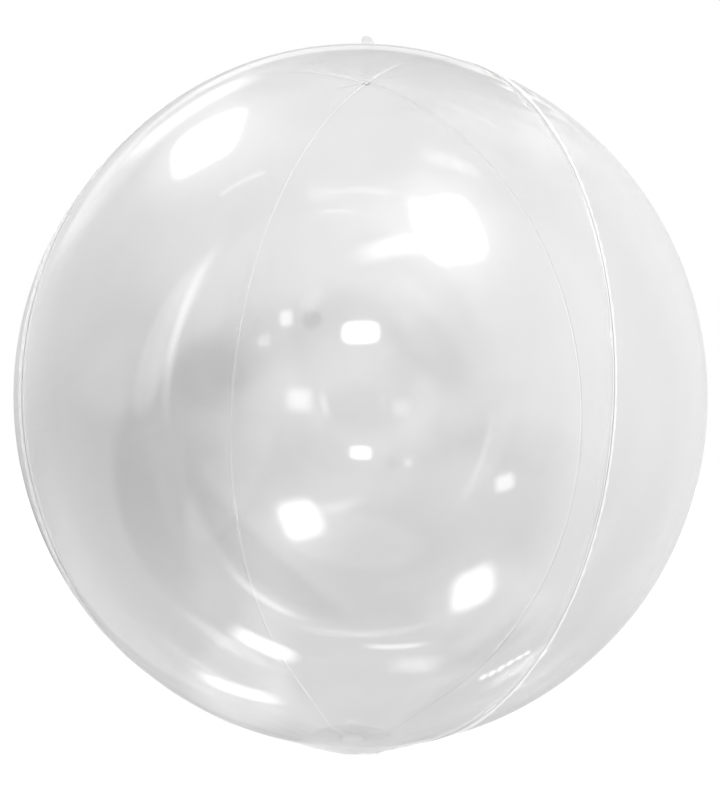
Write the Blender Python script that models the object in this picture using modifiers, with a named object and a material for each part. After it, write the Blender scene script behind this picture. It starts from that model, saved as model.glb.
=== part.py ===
"""Clear bubble balloon, inflated and standing on its folded filling tail.

Four welded film panels close the round body, so each panel is the solid share of the
sealed body that it covers. A tab stands on the crown, and the tail lies folded flat
under the neck. Metres, +Z up, the origin under the middle of the tail, -Y to the front.
"""

import math

import bmesh
import bpy
from mathutils import Vector

# The round body
BODY_WIDTH = 0.480  # across the middles of two opposite panels
BODY_HEIGHT = 0.487  # without the neck, the tail and the tab
SEAM_DEPTH = 0.0024  # how far each seam lies inside the full round at the widest place

# The welded edges, which stand out along each seam
WELD_MARGIN = 0.004
WELD_EDGE_THICKNESS = 0.0006  # one panel's share of the welded edge
WELD_GAP = 0.0003  # between two neighbouring panels

# The neck, a straight cone under the body
NECK_WIDTH = 0.064
NECK_DROP = 0.006  # from the round body's own lowest point down to the end of the neck

# The tab on the crown
TAB_WIDTH = 0.011
TAB_HEIGHT = 0.037
TAB_THICKNESS = 0.001
TAB_CORNER = 0.0045
TAB_SIDE_CLEARANCE = 0.0015  # to the ends of the welded edges beside it

# The filling tail, which narrows from the neck to its free end and is folded in layers
TAIL_ROOT_WIDTH = 0.056
TAIL_END_WIDTH = 0.034
TAIL_FOLD_LENGTH = 0.044
TAIL_LAYER_THICKNESS = 0.0007
TAIL_LAYER_GAP = 0.0003

SEAT_GAP = 0.0003  # over the tail and under the tab

# Counts and degrees
PANEL_NAMES = ("panel_front", "panel_right", "panel_back", "panel_left")
TAIL_LAYERS = 3
TAB_AZIMUTH = -45.0  # the tab's broad side lies in the seam plane at the front left
SEAM_SHARPNESS = 4  # the power by which a panel falls away towards its seams
ROUND_STEPS = 30
NECK_STEPS = 5
ARC_STEPS = 16
TURN_STEPS = 6
SMOOTH_ANGLE = 30.0

# Derived places
HALF_WIDTH = BODY_WIDTH / 2
HALF_HEIGHT = BODY_HEIGHT / 2
TAIL_PITCH = TAIL_LAYER_THICKNESS + TAIL_LAYER_GAP
TAIL_HEIGHT = TAIL_LAYERS * TAIL_PITCH - TAIL_LAYER_GAP
NECK_END = TAIL_HEIGHT + SEAT_GAP
BODY_CENTRE = NECK_END + NECK_DROP + HALF_HEIGHT
CROWN_RADIUS = TAB_WIDTH / 2 + TAB_SIDE_CLEARANCE
CROWN_ANGLE = math.asin(CROWN_RADIUS / HALF_WIDTH)
CROWN_HEIGHT = BODY_CENTRE + HALF_HEIGHT * math.cos(CROWN_ANGLE)
PANEL_HALF_ANGLE = math.pi / len(PANEL_NAMES)
SEAM_OFFSET = WELD_GAP / 2


def remove_old_objects():
    for obj in list(bpy.data.objects):
        bpy.data.objects.remove(obj, do_unlink=True)


def make_collection(name):
    collection = bpy.data.collections.new(name)
    bpy.context.scene.collection.children.link(collection)
    return collection


def make_material(name, colour, roughness, transmission):
    material = bpy.data.materials.new(name)
    material.use_nodes = True
    shader = material.node_tree.nodes["Principled BSDF"]
    shader.inputs["Base Color"].default_value = (*colour, 1.0)
    shader.inputs["Roughness"].default_value = roughness
    shader.inputs["Metallic"].default_value = 0.0
    shader.inputs["IOR"].default_value = 1.5
    shader.inputs["Transmission Weight"].default_value = transmission
    material.diffuse_color = (*colour, 1.0 - 0.7 * transmission)
    return material


def place(name, data, material, collection, parent):
    obj = bpy.data.objects.new(name, data)
    data.materials.append(material)
    collection.objects.link(obj)
    obj.parent = parent
    return obj


def outward(azimuth):
    """The level direction at this angle, from the front (-Y) towards the right (+X)."""
    return Vector((math.sin(azimuth), -math.cos(azimuth), 0.0))


def neck_tangent_angle():
    """The angle from the top pole at which the neck's straight side leaves the round body."""
    across = NECK_WIDTH / 2 / HALF_WIDTH
    down = (HALF_HEIGHT + NECK_DROP) / HALF_HEIGHT
    return math.pi - math.atan2(across, down) - math.acos(1 / math.hypot(across, down))


def meridian():
    """The body's outline from the crown down to the end of the neck: radius, height and
    outward slope at each step."""
    points = []
    last = neck_tangent_angle()
    for step in range(ROUND_STEPS + 1):
        angle = CROWN_ANGLE + (last - CROWN_ANGLE) * step / ROUND_STEPS
        radius = HALF_WIDTH * math.sin(angle)
        height = BODY_CENTRE + HALF_HEIGHT * math.cos(angle)
        slope = Vector((math.sin(angle) / HALF_WIDTH, math.cos(angle) / HALF_HEIGHT)).normalized()
        points.append((radius, height, slope))
    radius, height, slope = points[-1]
    for step in range(1, NECK_STEPS + 1):
        share = step / NECK_STEPS
        along = (
            radius + (NECK_WIDTH / 2 - radius) * share,
            height + (NECK_END - height) * share,
            slope,
        )
        points.append(along)
    return points


def panel_radius(radius, azimuth):
    """The panel is fullest in its middle and falls away to the seams at both its edges."""
    fall = SEAM_DEPTH / HALF_WIDTH * abs(azimuth / PANEL_HALF_ANGLE) ** SEAM_SHARPNESS
    return radius * (1 - fall)


def panel_section(radius, height, slope):
    """One closed ring round a panel's wedge: the body's axis, one welded edge, the film's
    arc and the other welded edge."""
    up = Vector((0.0, 0.0, height))
    seam = panel_radius(radius, PANEL_HALF_ANGLE)
    edge_radius = seam + WELD_MARGIN * slope.x
    edge_height = max(height + WELD_MARGIN * slope.y, NECK_END)
    edge_up = Vector((0.0, 0.0, edge_height))
    spread = math.asin((SEAM_OFFSET + WELD_EDGE_THICKNESS) / seam)
    arc_end = PANEL_HALF_ANGLE - spread

    def edge(side):
        along = outward(side * PANEL_HALF_ANGLE)
        inward = outward(side * (PANEL_HALF_ANGLE - math.pi / 2))
        root = along * seam + inward * SEAM_OFFSET + up
        inner = along * edge_radius + inward * SEAM_OFFSET + edge_up
        outer = inner + inward * WELD_EDGE_THICKNESS
        return [root, inner, outer]

    arc = []
    for step in range(ARC_STEPS + 1):
        azimuth = arc_end * (1 - 2 * step / ARC_STEPS)
        arc.append(outward(azimuth) * panel_radius(radius, azimuth) + up)
    axis = outward(0.0) * (SEAM_OFFSET / math.sin(PANEL_HALF_ANGLE)) + up
    return [axis, *edge(1), *arc, *reversed(edge(-1))]


def cap_end(bm, ring):
    """Closes one end of a panel: a flat face over the wedge, and one over each welded edge."""
    bm.faces.new([ring[0], ring[1], *ring[4:-3], ring[-1]])
    bm.faces.new(ring[1:5])
    bm.faces.new(ring[-4:])


def panel_mesh():
    """A loft through the unlike rings from the crown to the neck."""
    bm = bmesh.new()
    rings = [[bm.verts.new(point) for point in panel_section(*step)] for step in meridian()]
    for upper, lower in zip(rings, rings[1:]):
        for here in range(len(upper)):
            there = (here + 1) % len(upper)
            bm.faces.new((upper[here], upper[there], lower[there], lower[here]))
    cap_end(bm, rings[0])
    cap_end(bm, rings[-1])
    bmesh.ops.recalc_face_normals(bm, faces=bm.faces)
    mesh = bpy.data.meshes.new("panel")
    bm.to_mesh(mesh)
    bm.free()
    mesh.shade_smooth()
    mesh.set_sharp_from_angle(angle=math.radians(SMOOTH_ANGLE))
    return mesh


def add_panels(collection, parent, film):
    for index, name in enumerate(PANEL_NAMES):
        panel = place(name, panel_mesh(), film, collection, parent)
        panel.rotation_euler.z = 2 * PANEL_HALF_ANGLE * index


def tab_outline():
    """The tab's flat outline: a square foot and two round corners at the tip."""
    half = TAB_WIDTH / 2
    points = [(-half, 0.0), (half, 0.0)]
    for side, first in ((1, 0), (-1, 1)):
        for step in range(TURN_STEPS + 1):
            turn = math.pi / 2 * (first + step / TURN_STEPS)
            across = side * (half - TAB_CORNER) + TAB_CORNER * math.cos(turn)
            points.append((across, TAB_HEIGHT - TAB_CORNER + TAB_CORNER * math.sin(turn)))
    return points


def add_tab(collection, parent, film):
    curve = bpy.data.curves.new("top_tab", "CURVE")
    curve.dimensions = "2D"
    curve.fill_mode = "BOTH"
    curve.extrude = TAB_THICKNESS / 2
    outline = tab_outline()
    spline = curve.splines.new("POLY")
    spline.points.add(len(outline) - 1)
    for point, (across, up) in zip(spline.points, outline):
        point.co = (across, up, 0.0, 1.0)
    spline.use_cyclic_u = True
    tab = place("top_tab", curve, film, collection, parent)
    tab.location.z = CROWN_HEIGHT + SEAT_GAP
    tab.rotation_euler = (math.pi / 2, 0.0, math.radians(TAB_AZIMUTH - 90))


def tail_path():
    """The tail's middle line, seen from its side: level layers joined by half turns, from
    the free end at the bottom up to the neck."""
    bend = TAIL_PITCH / 2
    reach = TAIL_FOLD_LENGTH / 2 - bend - TAIL_LAYER_THICKNESS / 2
    points = []
    for layer in range(TAIL_LAYERS):
        side = 1 if layer % 2 == 0 else -1
        height = TAIL_LAYER_THICKNESS / 2 + layer * TAIL_PITCH
        points.append((-side * reach, height))
        points.append((side * reach, height))
        if layer == TAIL_LAYERS - 1:
            break
        for step in range(1, TURN_STEPS):
            turn = math.pi * step / TURN_STEPS - math.pi / 2
            points.append((side * (reach + bend * math.cos(turn)), height + bend * (1 + math.sin(turn))))
    return points


def add_tail(collection, parent, film):
    path = tail_path()
    runs = [math.dist(start, end) for start, end in zip(path, path[1:])]
    bm = bmesh.new()
    line = []
    for index, (along, up) in enumerate(path):
        share = sum(runs[:index]) / sum(runs)
        width = TAIL_END_WIDTH + (TAIL_ROOT_WIDTH - TAIL_END_WIDTH) * share
        line.append(bm.verts.new((-width / 2, along, up)))
    edges = [bm.edges.new(pair) for pair in zip(line, line[1:])]
    swept = bmesh.ops.extrude_edge_only(bm, edges=edges)
    for vert in swept["geom"]:
        if isinstance(vert, bmesh.types.BMVert):
            vert.co.x = -vert.co.x
    bmesh.ops.recalc_face_normals(bm, faces=bm.faces)
    mesh = bpy.data.meshes.new("filling_tail")
    bm.to_mesh(mesh)
    bm.free()
    mesh.shade_smooth()
    mesh.set_sharp_from_angle(angle=math.radians(SMOOTH_ANGLE))
    tail = place("filling_tail", mesh, film, collection, parent)
    sheet = tail.modifiers.new("film", "SOLIDIFY")
    sheet.thickness = TAIL_LAYER_THICKNESS
    sheet.offset = 0.0
    sheet.use_even_offset = True


def main():
    remove_old_objects()
    collection = make_collection("Bubble balloon")
    balloon = bpy.data.objects.new("bubble_balloon", None)
    collection.objects.link(balloon)
    clear_film = make_material("clear film", (0.93, 0.94, 0.95), 0.05, 0.9)
    tab_film = make_material("tab film", (0.90, 0.91, 0.92), 0.15, 0.7)
    tail_film = make_material("tail film", (0.88, 0.89, 0.90), 0.20, 0.6)
    add_panels(collection, balloon, clear_film)
    add_tab(collection, balloon, tab_film)
    add_tail(collection, balloon, tail_film)
    bpy.context.view_layer.update()


main()
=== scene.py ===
"""The looks of the clear bubble balloon: its film, its welds, the tab and the folded tail.

Each film panel is a thin shell on the outer face of its solid, with slow waves, puckers beside
the seams, pleats at both ends and its own weld edges. Metres, +Z up, -Y to the front.
"""

import math

import bpy
import numpy as np
from mathutils import Matrix, Vector


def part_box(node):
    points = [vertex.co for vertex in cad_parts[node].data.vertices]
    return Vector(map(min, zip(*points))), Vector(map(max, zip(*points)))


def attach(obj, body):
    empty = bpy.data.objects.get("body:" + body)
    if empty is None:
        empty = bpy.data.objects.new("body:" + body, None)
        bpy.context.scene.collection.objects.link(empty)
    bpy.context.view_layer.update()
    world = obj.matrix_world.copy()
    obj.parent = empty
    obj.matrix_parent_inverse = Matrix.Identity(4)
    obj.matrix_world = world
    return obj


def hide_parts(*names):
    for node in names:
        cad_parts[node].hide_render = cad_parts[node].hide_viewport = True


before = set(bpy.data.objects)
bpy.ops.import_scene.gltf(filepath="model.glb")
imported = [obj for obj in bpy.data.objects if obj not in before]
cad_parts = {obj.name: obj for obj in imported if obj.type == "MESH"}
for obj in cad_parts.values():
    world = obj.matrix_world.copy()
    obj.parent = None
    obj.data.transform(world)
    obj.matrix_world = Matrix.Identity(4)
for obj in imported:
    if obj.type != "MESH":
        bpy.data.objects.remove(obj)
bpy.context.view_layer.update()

# The body, from the frame and from the same driving sizes as the solids
panel_low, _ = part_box("panel_front")
tab_low, tab_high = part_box("top_tab")
tail_low, tail_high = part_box("filling_tail")
NECK_RADIUS = 0.032
NECK_DROP = 0.006
SEAM_DEPTH = 0.0024
SEAM_SHARPNESS = 4
SEAT_GAP = 0.0003
HALF_WIDTH = -panel_low[1]
NECK_END = panel_low[2]
BODY_TOP = tab_low[2] - SEAT_GAP
HALF_HEIGHT = (BODY_TOP - NECK_END - NECK_DROP) / 2
BODY_CENTRE = NECK_END + NECK_DROP + HALF_HEIGHT
PANELS = {"panel_front": 0, "panel_right": 1, "panel_back": 2, "panel_left": 3}
PANEL_HALF_ANGLE = math.pi / 4

# The film: its thickness, how far it leans back, and the grid of points of a panel
FILM_THICKNESS = 0.0002
POLE_RADIUS = 0.0012
NECK_HOLE_RADIUS = 0.008
LEAN = 0.03
ROWS_ROUND = 330
ROWS_NECK = 34
ROWS_UNDER = 14
COLUMNS = 92
CROWDING = 1.6  # of the columns towards the seams

# Puckers beside the welds: seed, wavelength along the weld, reach and depth
PUCKERS = ((50, 0.010, 0.007, 0.00016), (60, 0.026, 0.022, 0.00032))
PUCKER_STRETCH = 0.35
BUSY_WAVELENGTH = 0.12

# A crease beside the front right weld, by the way down from the pole
CREASE_START, CREASE_END = 0.148, 0.200
CREASE_FADE_IN, CREASE_FADE_OUT = 0.006, 0.02
CREASE_OFFSET, CREASE_SLOPE = 0.0015, 0.28
CREASE_WIDTH, CREASE_DEPTH = 0.0011, 0.0005

# Waves over the body, pleats at the pole and at the neck
WAVE_LENGTH, WAVE_DEPTH = 0.17, 0.00030
POLE_PLEAT_REACH, POLE_PLEAT_DEPTH = 0.055, 0.00018
NECK_PLEAT_REACH, NECK_PLEAT_DEPTH = 0.040, 0.00016
NECK_TUCK = 0.0002
DENT_LIMIT = 0.0003

# The welds. Seam 0 lies between the front and the right panel, and so on round
WELD_MARGIN = 0.0019
WELD_GAP = 0.0001
FILM_OFFSET = WELD_GAP / 2 + FILM_THICKNESS
ROOT_REACH = 0.0006
ROOT_FILM = (1, 1, 1, 0)  # strips of film at the root, by seam
# The weld materials are copies that differ in painted glow and tone: seam 0 gets the brightest, seam 1 the
# faintest
WELD_LOOKS = (3, 2, 1, 1)  # materials, by seam
WELD_WAVER = 0.0010

# From the root to the free edge: how far aside and how far out each column stands
WELD_STEPS = ((0.00045, 0.00012), (0.00012, 0.00045), (0, 0.0007), (0, 0.0010),
              (0, 0.0013), (0, 0.0016), (0, WELD_MARGIN))

# The tab on the crown, and the filling tail in layers under the neck
TAB_WIDTH, TAB_CORNER = 0.011, 0.0045
TAB_TIP = 0.010  # the pressed end
TAB_THICKNESS = 0.0004
TAB_CLEARANCE = 0.00005
TAB_BOW, TAB_RIPPLE = 0.0007, 0.00025
TAB_ROWS, TAB_COLUMNS = 40, 13
TAIL_LAYERS = 3
TAIL_THICKNESS = 0.0005
TAIL_END_WIDTH, TAIL_NECK_WIDTH = 0.034, 0.056
TAIL_FLOOR = 0.00037  # height of the lowest layer's middle
TAIL_ROOM = 0.0007  # of the height, not taken by the folds
TAIL_RIPPLE = 0.00007
TAIL_LAYER_POINTS, TAIL_FOLD_POINTS = 30, 12
TAIL_COLUMNS = 25

# Film and weld values
FILM_TINTS = (0.812, 0.828)
FILM_IOR = 1.8
WELD_IOR = 1.6
PLAIN_IOR = 1.5

# The photograph's view: from a little below the body's middle and right of the front
IMAGE_HEIGHT = 790
SENSOR = 36.0
BODY_HALF_PIXELS = 348.5
CAMERA_AZIMUTH = math.radians(12.5)
CAMERA_ELEVATION = math.radians(-5.3)
CAMERA_ROLL = math.radians(1.2)
CAMERA_RANGE = 2.55  # body half widths

# Light, and the white that the camera sees behind
WALL_LIGHT = 0.935
DARKEST_LIGHT = 0.03
SHELL_RADIUS = 30.0
SHELL_COLUMNS = 641
SHELL_ROWS = 321
LAMP_POWER = 3.5
RIM_FADE = 1.4
FLOOR_HALF = 30.0
FLOOR_GREY = 0.1
FLOOR_GLOW = 0.97


def outward(azimuth):
    """Level directions at these angles, from the front (-Y) towards the right (+X)."""
    return np.stack([np.sin(azimuth), -np.cos(azimuth), np.zeros_like(azimuth)], axis=-1)


def smooth(value, start, end):
    """An eased step from 0 at the start to 1 at the end."""
    share = np.clip((value - start) / (end - start), 0, 1)
    return share * share * (3 - 2 * share)


def drift(points, seed, wavelength, waves=9):
    """A smooth random field between about -1 and 1: plane waves in mixed directions."""
    random = np.random.default_rng(seed)
    total = np.zeros(points.shape[:-1])
    for _ in range(waves):
        direction = random.normal(size=points.shape[-1])
        direction /= np.linalg.norm(direction)
        pace = 2 * math.pi / (wavelength * random.uniform(0.7, 1.5))
        total += np.sin(points @ direction * pace + random.uniform(0, 2 * math.pi))
    return total / math.sqrt(waves) / 1.5


def neck_tangent_angle():
    """The angle down from the pole where the neck's straight line leaves the round body."""
    across = NECK_RADIUS / HALF_WIDTH
    down = (HALF_HEIGHT + NECK_DROP) / HALF_HEIGHT
    return math.pi - math.atan2(across, down) - math.acos(1 / math.hypot(across, down))


def meridian():
    """Radius, height and outward normal down one seam-free line: the round body, the neck
    and the film drawn in flat under it."""
    angle = np.linspace(math.asin(POLE_RADIUS / HALF_WIDTH), neck_tangent_angle(), ROWS_ROUND)
    radius = HALF_WIDTH * np.sin(angle)
    height = BODY_CENTRE + HALF_HEIGHT * np.cos(angle)
    share = np.arange(1, ROWS_NECK + 1) / ROWS_NECK
    neck_radius = radius[-1] + (NECK_RADIUS - radius[-1]) * share
    neck_height = height[-1] + (NECK_END - height[-1]) * share
    under_radius = np.linspace(NECK_RADIUS, NECK_HOLE_RADIUS, ROWS_UNDER + 1)[1:]
    under_height = np.full(ROWS_UNDER, NECK_END)
    radius = np.concatenate([radius, neck_radius, under_radius])
    height = np.concatenate([height, neck_height, under_height])
    along = np.stack([np.gradient(radius), np.gradient(height)], axis=-1)
    along /= np.linalg.norm(along, axis=-1, keepdims=True)
    return radius, height, np.stack([-along[:, 1], along[:, 0]], axis=-1)


def seam_wander(run, seed):
    """How far a weld's free edge strays sideways along its length, as a share."""
    line = run[:, None]
    calm = smooth(drift(line, seed, 0.11), -0.6, 0.7)
    stray = drift(line, seed + 1, 0.011) + 0.5 * drift(line, seed + 2, 0.005)
    return stray * (0.35 + 0.65 * calm)


def body_lean(height, turned):
    """How far in or out the film lies in front and behind, where it leans back a little."""
    share = np.clip((height - BODY_CENTRE) / HALF_HEIGHT, -1, 1)
    return 1 - LEAN * share * (1 - share**2) * np.cos(turned - CAMERA_AZIMUTH) ** 2


def seam_dents(index, azimuth, away, line):
    """The puckers beside each weld, and the crease that leaves the front right weld high up."""
    side = np.where(azimuth < 0, (index - 1) % 4, index)
    track = np.stack([line, PUCKER_STRETCH * away], axis=-1)
    dent = np.zeros_like(azimuth)
    for number in range(4):
        busy = 0.25 + 0.75 * smooth(drift(track, 40 + number, BUSY_WAVELENGTH), -0.5, 0.8)
        puckers = sum(depth * (drift(track, seed + number, wavelength) * np.exp(-((away / reach) ** 2)))
                      for seed, wavelength, reach, depth in PUCKERS)
        dent += np.where(side == number, busy * puckers, 0)
    if index == PANELS["panel_right"]:
        off = (away - CREASE_OFFSET - CREASE_SLOPE * (line - CREASE_START)) / CREASE_WIDTH
        length = smooth(line, CREASE_START, CREASE_START + CREASE_FADE_IN)
        length = length * smooth(line, CREASE_END, CREASE_END - CREASE_FADE_OUT)
        dent -= np.where(side == 0, CREASE_DEPTH * np.exp(-(off**2)) * length, 0)
    return dent


def add_body_dents(dent, turned, ring, radius, height):
    """Adds slow waves over the whole body, and the pleats that run to the pole and the neck."""
    place = outward(turned) * ring[..., None]
    place[..., 2] += height[:, None]
    body = smooth(radius, 0.01, 0.08)[:, None]
    dent += WAVE_DEPTH * drift(place, 7, WAVE_LENGTH) * body
    around = np.stack([np.cos(turned), np.sin(turned)], axis=-1)
    top = (height > BODY_CENTRE)[:, None] * smooth(radius, 0.004, 0.012)[:, None]
    near = np.exp(-((radius / POLE_PLEAT_REACH) ** 2))[:, None]
    dent += POLE_PLEAT_DEPTH * drift(around, 8, 0.35) * top * near
    low = (height < BODY_CENTRE)[:, None]
    neck = low * np.exp(-((np.maximum(radius - NECK_RADIUS, 0) / NECK_PLEAT_REACH) ** 2))[:, None]
    neck = neck * smooth(radius, NECK_HOLE_RADIUS, NECK_RADIUS)[:, None]
    dent += NECK_PLEAT_DEPTH * drift(around, 9, 0.30) * neck
    dent -= NECK_TUCK * np.maximum(neck, 0)


def weld_edge(index, hand, run, radius, height, normal, seam):
    """One weld edge of a panel as columns of points, from the root to the free edge. It
    narrows towards the neck, and its free edge wavers."""
    number = index if hand > 0 else (index - 1) % 4
    wander = seam_wander(run, 70 + 5 * number)
    trim = 1 + 0.10 * drift(run[:, None], 90 + number, 0.03)
    taper = 0.35 + 0.65 * np.where(height < BODY_CENTRE, smooth(radius, 0.03, 0.10), 1)
    inward = outward(np.array(hand * (PANEL_HALF_ANGLE - math.pi / 2)))
    along = outward(np.array(hand * PANEL_HALF_ANGLE))
    leant = seam * body_lean(height, PANEL_HALF_ANGLE * (2 * index + hand))
    columns = []
    for aside, stand in WELD_STEPS:
        stand = stand * trim * taper
        waver = WELD_WAVER * wander * (stand / WELD_MARGIN) ** 1.5 * hand
        column = along * (leant + stand * normal[:, 0])[:, None]
        column[:, 2] = np.maximum(height + stand * normal[:, 1], NECK_END)
        column += inward * (FILM_OFFSET + aside + waver)[:, None]
        columns.append(column)
    return np.stack(columns, axis=1)


def weld_kinds(number):
    """The kinds of a weld's strips from its free edge to its root. The film runs on into the
    roots of most welds, so that they show less."""
    film = ROOT_FILM[number]
    return [WELD_LOOKS[number]] * (len(WELD_STEPS) - film) + [0] * film


def panel_points(index):
    """The outer surface of one panel as a grid of points with its weld edges in the outer
    columns, the kind of each quad, and which quads are used."""
    radius, height, normal = meridian()
    run = np.concatenate([[0], np.cumsum(np.hypot(np.diff(radius), np.diff(height)))])
    seam = radius * (1 - SEAM_DEPTH / HALF_WIDTH)

    # Columns crowd towards the seams, where the puckers are
    even = np.linspace(-1, 1, COLUMNS)
    crowded = np.sign(even) * (1 - (1 - np.abs(even)) ** CROWDING)
    half = PANEL_HALF_ANGLE - np.arcsin(np.clip((FILM_OFFSET + ROOT_REACH) / seam, 0, 0.6))
    azimuth = crowded[None, :] * half[:, None]
    turned = azimuth + 2 * PANEL_HALF_ANGLE * index

    # The body is drawn in towards the seams and leans back a little
    share = np.abs(azimuth) / PANEL_HALF_ANGLE
    fall = SEAM_DEPTH / HALF_WIDTH * share**SEAM_SHARPNESS
    ring = radius[:, None] * (1 - fall) * body_lean(height[:, None], turned)
    surface = outward(azimuth) * ring[..., None]
    surface[..., 2] += height[:, None]
    out = outward(azimuth) * normal[:, 0][:, None, None]
    out[..., 2] += normal[:, 1][:, None]

    # Dents move it along its normals, and never out past the solid
    away = (PANEL_HALF_ANGLE - np.abs(azimuth)) * radius[:, None]
    line = np.broadcast_to(run[:, None], azimuth.shape)
    dent = seam_dents(index, azimuth, away, line)
    add_body_dents(dent, turned, ring, radius, height)
    dent = np.minimum(dent, DENT_LIMIT) * smooth(away, 0, 0.002) - DENT_LIMIT
    surface += out * dent[..., None]

    # The weld edges stand out from the roots, and end where the film turns in under the neck
    left, right = (weld_edge(index, hand, run, radius, height, normal, seam) for hand in (-1, 1))
    grid = np.concatenate([left[:, ::-1], surface, right], axis=1)
    left, right = weld_kinds((index - 1) % 4), weld_kinds(index)
    kinds = np.tile(left + [0] * (COLUMNS - 1) + right[::-1], (len(radius) - 1, 1))
    used = np.ones(kinds.shape, dtype=bool)
    used[ROWS_ROUND + ROWS_NECK - 1 :, : len(WELD_STEPS)] = False
    used[ROWS_ROUND + ROWS_NECK - 1 :, -len(WELD_STEPS) :] = False
    spin = np.array(Matrix.Rotation(2 * PANEL_HALF_ANGLE * index, 3, "Z"))
    return grid @ spin.T, kinds, used


def grid_mesh(name, grid, kinds=None, used=None):
    """A sheet of quads through a grid of points, facing out where the columns run from left
    to right and the rows from top to bottom. Quads that aren't used are left out."""
    rows, columns = grid.shape[:2]
    number = np.arange(rows * columns).reshape(rows, columns)
    corners = [number[:-1, :-1], number[1:, :-1], number[1:, 1:], number[:-1, 1:]]
    faces = np.stack(corners, axis=-1)
    kinds = np.zeros((rows - 1, columns - 1), dtype=int) if kinds is None else kinds
    used = np.ones((rows - 1, columns - 1), dtype=bool) if used is None else used
    kept, faces = np.unique(faces[used], return_inverse=True)
    mesh = bpy.data.meshes.new(name)
    mesh.from_pydata(grid.reshape(-1, 3)[kept].tolist(), [], faces.reshape(-1, 4).tolist())
    mesh.polygons.foreach_set("material_index", kinds[used])
    mesh.shade_smooth()
    return mesh


def add_piece(name, mesh, materials, replaced):
    """A piece that stands for a solid of the part and rides on its body."""
    piece = bpy.data.objects.new(name, mesh)
    for material in materials:
        mesh.materials.append(material)
    bpy.context.scene.collection.objects.link(piece)
    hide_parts(replaced)
    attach(piece, "root")
    return piece


def thicken(piece, thickness, offset):
    """Makes a sheet solid, to its back (-1) or to both sides (0)."""
    sheet = piece.modifiers.new("film", "SOLIDIFY")
    sheet.thickness = thickness
    sheet.offset = offset


def node(tree, kind, inputs=None, **settings):
    """A new node with these settings. An input is a plain value or another node's output."""
    item = tree.nodes.new(kind)
    for name, value in settings.items():
        setattr(item, name, value)
    for name, value in (inputs or {}).items():
        if isinstance(value, bpy.types.NodeSocket):
            tree.links.new(value, item.inputs[name])
        else:
            item.inputs[name].default_value = value
    return item


def ramp(tree, value, start, end, low=0.0, high=1.0):
    """A value's eased change from low at the start to high at the end."""
    inputs = {"Value": value, "From Min": start, "From Max": end, "To Min": low, "To Max": high}
    return node(tree, "ShaderNodeMapRange", inputs, interpolation_type="SMOOTHSTEP").outputs[0]


def start_material(name):
    """A new material with its node tree and its shader."""
    material = bpy.data.materials.new(name)
    material.use_nodes = True
    return material, material.node_tree, material.node_tree.nodes["Principled BSDF"]


def speckle(tree, scale, detail=2.0):
    """Noise in the object's own space."""
    place = node(tree, "ShaderNodeTexCoord").outputs["Object"]
    inputs = {"Vector": place, "Scale": scale, "Detail": detail}
    return node(tree, "ShaderNodeTexNoise", inputs).outputs[0]


def grey(value):
    """A grey as a colour without transparency."""
    return (value, value, value, 1.0)


def film_material():
    """Clear film: plainly see-through, faintly cloudy, and a little rougher in places."""
    material, tree, shader = start_material("clear film")
    shader.inputs["Transmission Weight"].default_value = 1.0
    shader.inputs["IOR"].default_value = FILM_IOR
    cloud = speckle(tree, 9.0, 3.0)
    tint = node(tree, "ShaderNodeMix", {"Factor": ramp(tree, cloud, 0.3, 0.7)}, data_type="RGBA")
    tint.inputs["A"].default_value = grey(FILM_TINTS[0])
    tint.inputs["B"].default_value = grey(FILM_TINTS[1])
    tree.links.new(tint.outputs["Result"], shader.inputs["Base Color"])
    rough = ramp(tree, speckle(tree, 22.0), 0.35, 0.75, 0.010, 0.035)
    tree.links.new(rough, shader.inputs["Roughness"])
    return material


def weld_material(name, alpha, white, glow):
    """Welded edges: two films pressed together, milky and finely ribbed, with a painted glow from emission
    that stands in for the light their crinkles catch.
    """
    material, tree, shader = start_material(name)
    shader.inputs["Base Color"].default_value = grey(white)
    shader.inputs["Alpha"].default_value = alpha
    shader.inputs["IOR"].default_value = WELD_IOR
    # Painted glow: the emission makes the welds shine as if lit, though they are no lamp
    shader.inputs["Emission Color"].default_value = grey(1.0)
    shader.inputs["Emission Strength"].default_value = glow
    tree.links.new(ramp(tree, speckle(tree, 400.0), 0.3, 0.7, 0.15, 0.4), shader.inputs["Roughness"])
    inputs = {"Height": speckle(tree, 900.0), "Strength": 0.4, "Distance": 0.0002}
    tree.links.new(node(tree, "ShaderNodeBump", inputs).outputs[0], shader.inputs["Normal"])
    return material


def plain_film_material(name, alpha, white):
    """Thin flat film, as on the tab and the tail."""
    material, tree, shader = start_material(name)
    shader.inputs["Base Color"].default_value = grey(white)
    shader.inputs["Alpha"].default_value = alpha
    shader.inputs["IOR"].default_value = PLAIN_IOR
    tree.links.new(ramp(tree, speckle(tree, 120.0), 0.3, 0.7, 0.08, 0.22), shader.inputs["Roughness"])
    return material


def add_panels():
    """The four film panels, with the materials in the order of the kinds."""
    looks = [
        film_material(),
        # Copies of one weld look that differ in painted glow and tone, one for each seam's brightness
        weld_material("welded edge with painted glow", 0.11, 1.0, 0.35),
        weld_material("clear welded edge with painted glow", 0.05, 0.75, 0.15),
        weld_material("lit welded edge with painted glow", 0.11, 1.0, 0.65),
    ]
    for node_name, index in PANELS.items():
        name = node_name.replace("panel", "film")
        mesh = grid_mesh(name, *panel_points(index))
        piece = add_piece(name, mesh, looks, node_name)
        thicken(piece, FILM_THICKNESS, -1.0)


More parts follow.
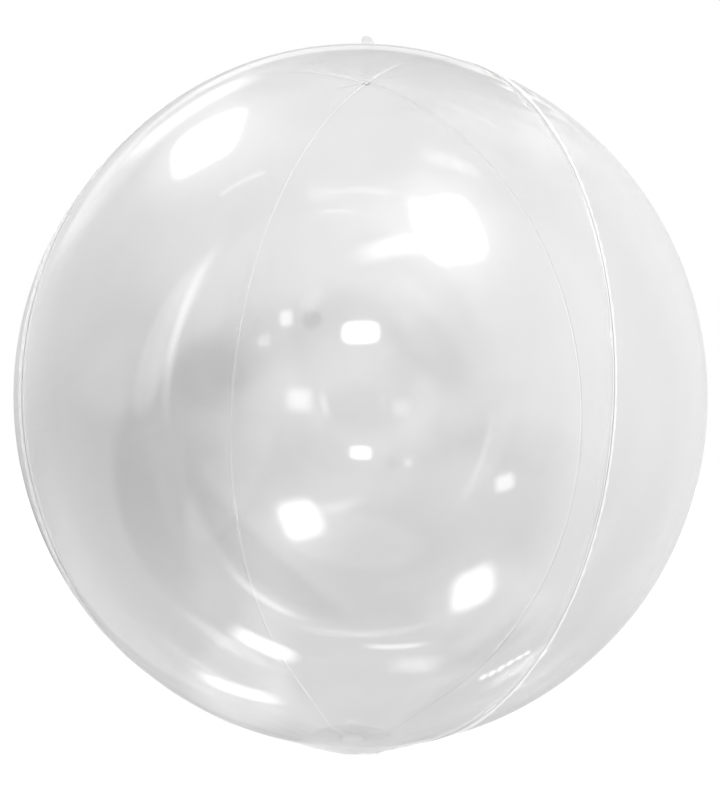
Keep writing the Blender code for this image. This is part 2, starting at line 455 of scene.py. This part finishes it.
def add_tab():
    """The tab: a narrow strip with round corners, a little bowed along its height."""
    tall = tab_high[2] - tab_low[2] - TAB_CLEARANCE
    up = np.linspace(0, 1, TAB_ROWS) ** 0.8 * tall
    drop = np.maximum(up - (tall - TAB_CORNER), 0)
    half = TAB_WIDTH / 2 - TAB_CORNER + np.sqrt(np.maximum(TAB_CORNER**2 - drop**2, 0))
    across = np.linspace(-1, 1, TAB_COLUMNS)[None, :] * half[:, None]
    place = np.stack(np.broadcast_arrays(across, up[:, None]), axis=-1)
    bow = TAB_BOW * np.sin(up / tall * 2.6)[:, None] + TAB_RIPPLE * drift(place, 21, 0.012)
    wide = outward(np.array(-PANEL_HALF_ANGLE))
    face = outward(np.array(PANEL_HALF_ANGLE))
    grid = across[..., None] * wide + bow[..., None] * face
    grid[..., 2] = tab_low[2] + up[:, None]
    tip = up[::-1][1:] > tall - TAB_TIP
    kinds = np.where(tip, 1, 0)[:, None] * np.ones((1, TAB_COLUMNS - 1), dtype=int)
    mesh = grid_mesh("tab", grid[::-1], kinds)
    looks = [plain_film_material("tab film", 0.06, 0.9), plain_film_material("pressed tab tip", 0.3, 0.68)]
    piece = add_piece("tab", mesh, looks, "top_tab")
    thicken(piece, TAB_THICKNESS, 0.0)


def folded_path():
    """The tail's way back and forth through its layers, seen from the side."""
    pitch = (tail_high[2] - TAIL_ROOM) / (TAIL_LAYERS - 1)
    reach = (tail_high[1] - tail_low[1]) / 2 - pitch
    points = []
    for layer in range(TAIL_LAYERS):
        hand = 1 if layer % 2 == 0 else -1
        height = TAIL_FLOOR + layer * pitch
        for share in np.linspace(-1, 1, TAIL_LAYER_POINTS):
            points.append((hand * share * reach, height))
        if layer < TAIL_LAYERS - 1:
            for turn in np.linspace(-math.pi / 2, math.pi / 2, TAIL_FOLD_POINTS)[1:-1]:
                side = hand * (reach + pitch / 2 * math.cos(turn))
                points.append((side, height + pitch / 2 * (1 + math.sin(turn))))
    return np.array(points)


def add_tail():
    """The filling tail, folded in three layers under the neck and narrower at its end."""
    path = folded_path()
    run = np.concatenate([[0], np.cumsum(np.hypot(*np.diff(path, axis=0).T))])
    half = (TAIL_END_WIDTH + (TAIL_NECK_WIDTH - TAIL_END_WIDTH) * run / run[-1]) / 2
    across = np.linspace(-1, 1, TAIL_COLUMNS)[None, :] * half[:, None]
    grid = np.zeros((*across.shape, 3))
    grid[..., 0] = across
    grid[..., 1] = path[:, 0][:, None]
    ripple = drift(np.stack(np.broadcast_arrays(across, run[:, None]), axis=-1), 31, 0.02)
    grid[..., 2] = path[:, 1][:, None] + TAIL_RIPPLE * ripple
    looks = [plain_film_material("tail film", 0.05, 0.95)]
    piece = add_piece("tail", grid_mesh("tail", grid), looks, "filling_tail")
    thicken(piece, TAIL_THICKNESS, 0.0)


def view_axes():
    """The photograph's own right, up and backward directions."""
    back = Vector((
        math.sin(CAMERA_AZIMUTH) * math.cos(CAMERA_ELEVATION),
        -math.cos(CAMERA_AZIMUTH) * math.cos(CAMERA_ELEVATION),
        math.sin(CAMERA_ELEVATION),
    ))
    level = Vector((0, 0, 1)).cross(back).normalized()
    upright = back.cross(level)
    right = level * math.cos(CAMERA_ROLL) + upright * math.sin(CAMERA_ROLL)
    up = upright * math.cos(CAMERA_ROLL) - level * math.sin(CAMERA_ROLL)
    return right, up, back


def add_camera():
    """The photograph's camera, at the range that gives the body its size in the frame."""
    right, up, back = view_axes()
    data = bpy.data.cameras.new("camera")
    focal_pixels = BODY_HALF_PIXELS * math.sqrt(CAMERA_RANGE**2 - 1)
    data.sensor_width = SENSOR
    data.lens = focal_pixels * SENSOR / IMAGE_HEIGHT
    camera = bpy.data.objects.new("camera", data)
    place = Vector((0, 0, BODY_CENTRE)) + back * CAMERA_RANGE * HALF_WIDTH
    turn = Matrix((right, up, back)).transposed().to_4x4()
    camera.matrix_world = Matrix.Translation(place) @ turn
    bpy.context.scene.collection.objects.link(camera)
    bpy.context.scene.camera = camera


def towards(azimuth, elevation):
    """A direction seen from the photograph's side: degrees to the right and up."""
    right, up, back = view_axes()
    azimuth, elevation = math.radians(azimuth), math.radians(elevation)
    level = right * math.sin(azimuth) + back * math.cos(azimuth)
    return level * math.cos(elevation) + up * math.sin(elevation)


# Soft areas of the studio round the balloon, as seen from it: degrees to the right of the
# camera and up, half width, half height, tilt, softness of the edge, and how much lighter
# or darker than the walls. A scratch fit tuned the numbers of most of them to the photo
SOFT_AREAS = (
    ("lit sheet behind", 176, 6, 18, 33, 31, 0.37, 0.18),
    ("top of the sheet", 173, 60, 36, 22, 70, 0.16, -0.19),
    ("floor behind", 152, -50, 28, 24, 30, 0.27, -0.16),
    ("left wall", -125, -6, 58, 9.2, 14, 0.97, -0.22),
    ("ceiling on the left", -75, 71, 36, 24, -13, 1, 0.46),
    ("left window", -62, 17, 4.9, 22, -17, 0.24, 0.4),
    ("dark doorway", -54, -9, 24, 32, -78, 0.7, -0.76),
    ("dark curtain", -36, 15, 8.7, 27, -57, 0.61, -0.6),
    ("ceiling in front", 0, 31, 46, 21, 49, 0.32, 0.43),
    ("camera stand", -2, 13, 16, 22, 31, 0.22, -0.44),
    ("dark floor in front", 33, -37, 40, 26, 49, 0.28, -0.55),
    ("dark shelf", 20, 18, 18, 7.7, -48, 0.44, -0.53),
    ("table edge", -41, -44, 28, 6, -65, 0.29, -0.42),
    ("right floor", 84, -60, 13, 11.5, -18, 0.43, -0.39),
    ("left floor", -121, -64, 35, 8.5, -28, 0.33, 0.34),
    ("right wall", 97, 17, 46, 40, 46, 1, 0.44),
    ("dark rug", -31, -12, 41, 11.8, -42, 0.91, -0.42),
    ("lit board", 58, -54, 14, 10, 44, 0.24, 0.22),
    ("left cloth", -74, 7, 18, 9.3, 10, 0.45, 0.3),
    ("ceiling overhead", 65, 68, 54, 9.6, -48, 0.57, -0.15),
    ("ceiling round the key lamp", 48, 30, 8.3, 29, 7, 0.58, 0.27),
    ("ceiling round the left lamp", -104, 60, 17, 17, -4, 0.35, 0.22),
    ("top of the backdrop", 180, 39, 27, 4.5, 0, 0.25, 0.3),
    ("grey strip beside the window", -148, 40, 7, 4, -43, 0.5, -0.12),
    ("left window sill", -138, 32, 4, 12, 10, 0.5, 0.12),
    ("curtain fold", -45, 8, 8, 6.5, 0, 0.5, -0.55),
    ("dark niche", -15, 25, 2.6, 2.4, 0, 0.3, -0.7),
    ("key halo", 38, 49, 12, 12, 0, 1, 0.6),
    ("left lamp halo", -108, 57, 12, 9, 0, 1, 0.5),
    ("fold in the sheet", -169.3, 1.2, 2.4, 2.2, 0, 0.5, -0.15),
    ("rear left window", -138, 39, 10, 19, 30, 0.45, 0.21),
    ("right skirting", 54, -12, 22, 6.7, -3, 0.18, -0.12),
    ("left skirting", -42, -21, 22, 7.6, 45, 0.15, 0.2),
    ("near table", -5, -40, 22, 8.9, -14, 0.17, 0.27),
    ("doorway edge", -72, -23, 11.2, 28, -17, 0.23, -0.28),
    ("window edge", -61, 1, 4.5, 34, -7, 0.34, 0.21),
    ("rear corner", 167, 54, 15, 16, -9, 0.3, -0.2),
    ("right rear wall", 141, 3, 21, 33, 11, 0.17, -0.04),
    ("left rear wall", -159, -24, 13, 34, 1, 0.13, -0.16),
)

# Lamps and lit strips, in the same terms
LAMPS = (
    ("key", 38, 49, 7.3, 7.5, 0, 0.5, 8.5),
    ("key flare", 13, 45.5, 8, 2.2, 8, 0.9, 1.8),
    ("left lamp", -109, 57, 7.6, 5.8, 0, 0.5, 7.5),
    ("small lamp", 0, 21.3, 4.8, 2.9, 0, 0.3, 6.5),
    ("low left strip", -77, -68, 3.0, 6.6, 5, 0.4, 2.3),
    ("rear left strip", -136, -59.5, 6.4, 3.1, 73, 0.5, 1.35),
    ("thin strip", 35.5, -76, 6.2, 0.9, 26, 0.5, 1.3),
    ("low spot", 80, -77.7, 4.6, 2.8, 56, 0.8, 0.8),
    ("low lamp", 47.5, -21.3, 2.9, 2.2, 20, 0.5, 1.9),
    ("spot", -23, 25, 1.7, 2.1, 10, 0.5, 1.8),
    ("bright frame", -17.5, 2.3, 3.4, 3.0, 0, 0.6, 1.4),
    ("glint", -10, 1, 1.0, 3.0, 15, 0.7, 0.7),
    ("rear left window edge", -142, 45, 9.5, 4.6, -39, 0.45, 0.6),
    ("rear left window foot", -131, 24, 8.0, 3.2, 50, 0.7, 0.15),
    ("lit corner on the right", 123, 48, 9.0, 4.5, -35, 0.6, 0.2),
)

# Lit and dark bands at an equal angle from one direction: the direction, the angle, the half
# width, and the area that the band is kept to, with its light
RIMS = (
    ((27, -4), 86.0, 1.6, ("upper rim", -57, 20, 14, 16, 0, 0.7, 1.0)),
    ((-2, -25), 45.6, 1.5, ("lower rim", -46, -56, 9, 9, 0, 0.7, 1.2)),
    ((180, 0), 31.0, 7.0, ("dark surround", -165, 34, 46, 28, 0, 0.5, -0.16)),
)

# A row of small lamps behind, low on the right
ROW_START = (124, -60.6)
ROW_END = (118.8, -51.5)
ROW_LAMPS = 6
ROW_HALF_WIDTH, ROW_HALF_HEIGHT = 1.2, 0.7
ROW_TILT = 17
ROW_EDGE = 0.8
ROW_LIGHT = 1.9


def card_share(ways, card, power=2):
    """How far each direction lies within a soft-edged area, from 0 to 1: an oval, or a
    rounded oblong with a higher power."""
    _, azimuth, elevation, wide, tall, tilt, edge, _ = card
    right, up, back = view_axes()
    turn, tilt = math.radians(azimuth), math.radians(tilt)
    centre = towards(azimuth, elevation)
    level = right * math.cos(turn) - back * math.sin(turn)
    upright = centre.cross(level)
    across = ways @ np.array(level * math.cos(tilt) + upright * math.sin(tilt))
    along = ways @ np.array(upright * math.cos(tilt) - level * math.sin(tilt))
    across = np.abs(across) / math.sin(math.radians(wide))
    along = np.abs(along) / math.sin(math.radians(tall))
    reach = (across**power + along**power) ** (1 / power)
    return (1 - smooth(reach, 1 - edge, 1 + edge)) * smooth(ways @ np.array(centre), 0, 0.3)


def studio_light(ways):
    """The light that comes from each direction of the studio."""
    light = np.full(len(ways), WALL_LIGHT)
    for card in SOFT_AREAS:
        light += card[-1] * card_share(ways, card)
    light = np.maximum(light, DARKEST_LIGHT)
    for card in LAMPS:
        light += card[-1] * card_share(ways, card, LAMP_POWER)
    for centre, radius, half_width, card in RIMS:
        angle = np.degrees(np.arccos(np.clip(ways @ np.array(towards(*centre)), -1, 1)))
        rim = 1 - smooth(np.abs(angle - radius), 0, RIM_FADE * half_width)
        light += card[-1] * card_share(ways, card) * rim
    for share in np.linspace(0, 1, ROW_LAMPS):
        azimuth = ROW_START[0] + (ROW_END[0] - ROW_START[0]) * share
        elevation = ROW_START[1] + (ROW_END[1] - ROW_START[1]) * share
        lamp = ("row", azimuth, elevation, ROW_HALF_WIDTH, ROW_HALF_HEIGHT, ROW_TILT, ROW_EDGE, 0)
        light += ROW_LIGHT * card_share(ways, lamp)
    return light


def add_studio():
    """The studio as a wide lit shell, which the camera itself doesn't see."""
    azimuth = np.linspace(-math.pi, math.pi, SHELL_COLUMNS)
    elevation = np.linspace(math.pi / 2, -math.pi / 2, SHELL_ROWS)
    azimuth, elevation = np.meshgrid(azimuth, elevation)
    right, up, back = (np.array(axis) for axis in view_axes())
    level = np.sin(azimuth)[..., None] * right + np.cos(azimuth)[..., None] * back
    ways = level * np.cos(elevation)[..., None] + np.sin(elevation)[..., None] * up
    mesh = grid_mesh("studio", ways * SHELL_RADIUS + np.array([0, 0, BODY_CENTRE]))
    attribute = mesh.attributes.new("light", "FLOAT", "POINT")
    attribute.data.foreach_set("value", studio_light(ways.reshape(-1, 3)))
    material = bpy.data.materials.new("studio")
    material.use_nodes = True
    tree = material.node_tree
    tree.nodes.clear()
    light = node(tree, "ShaderNodeAttribute", attribute_name="light").outputs["Fac"]
    glow = node(tree, "ShaderNodeEmission", {"Strength": light}).outputs[0]
    node(tree, "ShaderNodeOutputMaterial", {"Surface": glow})
    material.cycles.emission_sampling = "NONE"
    mesh.materials.append(material)
    studio = bpy.data.objects.new("studio", mesh)
    studio.visible_camera = False
    bpy.context.scene.collection.objects.link(studio)


def add_world():
    """A plain white view behind everything, for the camera."""
    world = bpy.data.worlds.new("white")
    bpy.context.scene.world = world
    world.use_nodes = True
    background = world.node_tree.nodes["Background"]
    background.inputs["Color"].default_value = grey(1.0)
    background.inputs["Strength"].default_value = 1.0


def add_floor():
    """A plain white floor, which the camera sees and the film doesn't mirror."""
    mesh = bpy.data.meshes.new("floor")
    corners = [(x * FLOOR_HALF, y * FLOOR_HALF, 0) for x, y in ((-1, -1), (1, -1), (1, 1), (-1, 1))]
    mesh.from_pydata(corners, [], [(0, 1, 2, 3)])
    floor = bpy.data.objects.new("floor", mesh)
    bpy.context.scene.collection.objects.link(floor)
    material, tree, shader = start_material("pale floor")
    shader.inputs["Base Color"].default_value = grey(FLOOR_GREY)
    shader.inputs["Roughness"].default_value = 0.9
    shader.inputs["Emission Color"].default_value = grey(1.0)
    shader.inputs["Emission Strength"].default_value = FLOOR_GLOW
    mesh.materials.append(material)
    floor.visible_diffuse = floor.visible_glossy = floor.visible_transmission = False
    floor.visible_shadow = False


def main():
    bpy.context.scene.view_settings.view_transform = "Standard"
    add_camera()
    add_panels()
    add_tab()
    add_tail()
    add_studio()
    add_world()
    add_floor()


main()
bpy.context.view_layer.update()
